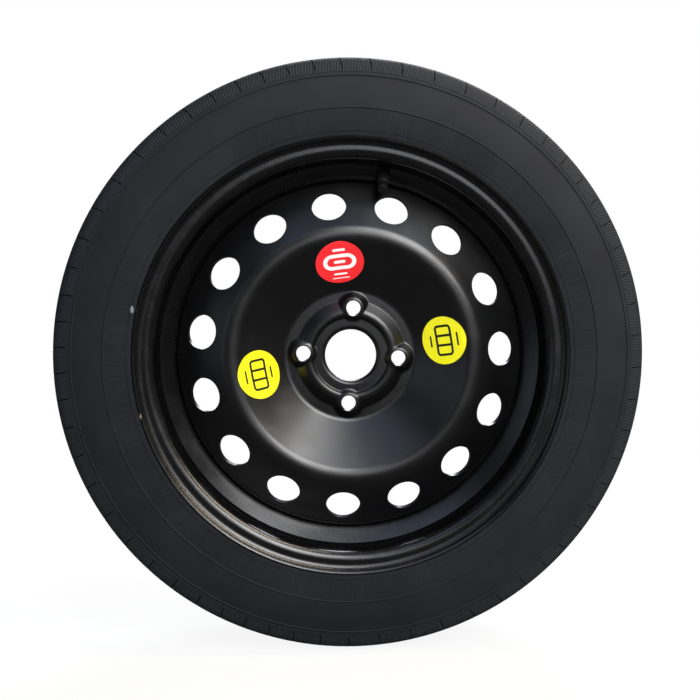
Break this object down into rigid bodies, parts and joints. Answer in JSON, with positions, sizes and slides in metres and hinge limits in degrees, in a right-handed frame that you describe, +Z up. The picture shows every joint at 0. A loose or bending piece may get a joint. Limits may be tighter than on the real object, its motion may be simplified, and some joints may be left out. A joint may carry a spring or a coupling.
{
  "type": "spare wheel",
  "caption": "Narrow temporary spare wheel: slim tyre on a black pressed steel rim with a vented, dished disc, bolt holes, snap-in valve and round stickers.",
  "frame": {"origin": "centre of the wheel, on the axle line in the middle plane of the rim", "axes": "+Y along the axle line towards the vehicle, so the outer face looks towards -Y; +Z up"},
  "size_m": [0.606, 0.129, 0.606],
  "materials": {
    "tyre_rubber": "matte moulded rubber",
    "black_paint": "satin black electrocoat on steel",
    "weld_paint": "satin black electrocoat over weld beads",
    "valve_rubber": "moulded rubber",
    "valve_brass": "turned",
    "seal_rubber": "moulded rubber",
    "spring_steel": "drawn wire",
    "cap_plastic": "moulded",
    "red_vinyl": "printed vinyl film",
    "yellow_vinyl": "printed vinyl film"
  },
  "bodies": {
    "wheel": {"rim": "black_paint", "wheel_disc": "black_paint", "weld_beads": "weld_paint", "tyre": "tyre_rubber", "valve_body": "valve_rubber", "valve_stem": "valve_brass", "core_barrel": "valve_brass", "core_gasket": "seal_rubber", "core_spring": "spring_steel", "sticker_red": "red_vinyl", "sticker_yellow_left": "yellow_vinyl", "sticker_yellow_right": "yellow_vinyl"},
    "cap": {"valve_cap": "cap_plastic", "cap_seal": "seal_rubber"},
    "plunger": {"core_pin": "valve_brass", "core_cup": "seal_rubber"}
  },
  "joints": [
    {"name": "cap_lift", "type": "slide", "parent": "wheel", "child": "cap", "axis": [-0.1034, -0.812, -0.5744], "range_m": [0, 0.012]},
    {"name": "pin_press", "type": "slide", "parent": "wheel", "child": "plunger", "axis": [0.1034, 0.812, 0.5744], "range_m": [0, 0.0012], "stiffness_N_per_m": 800, "deforming": ["core_spring"]}
  ]
}
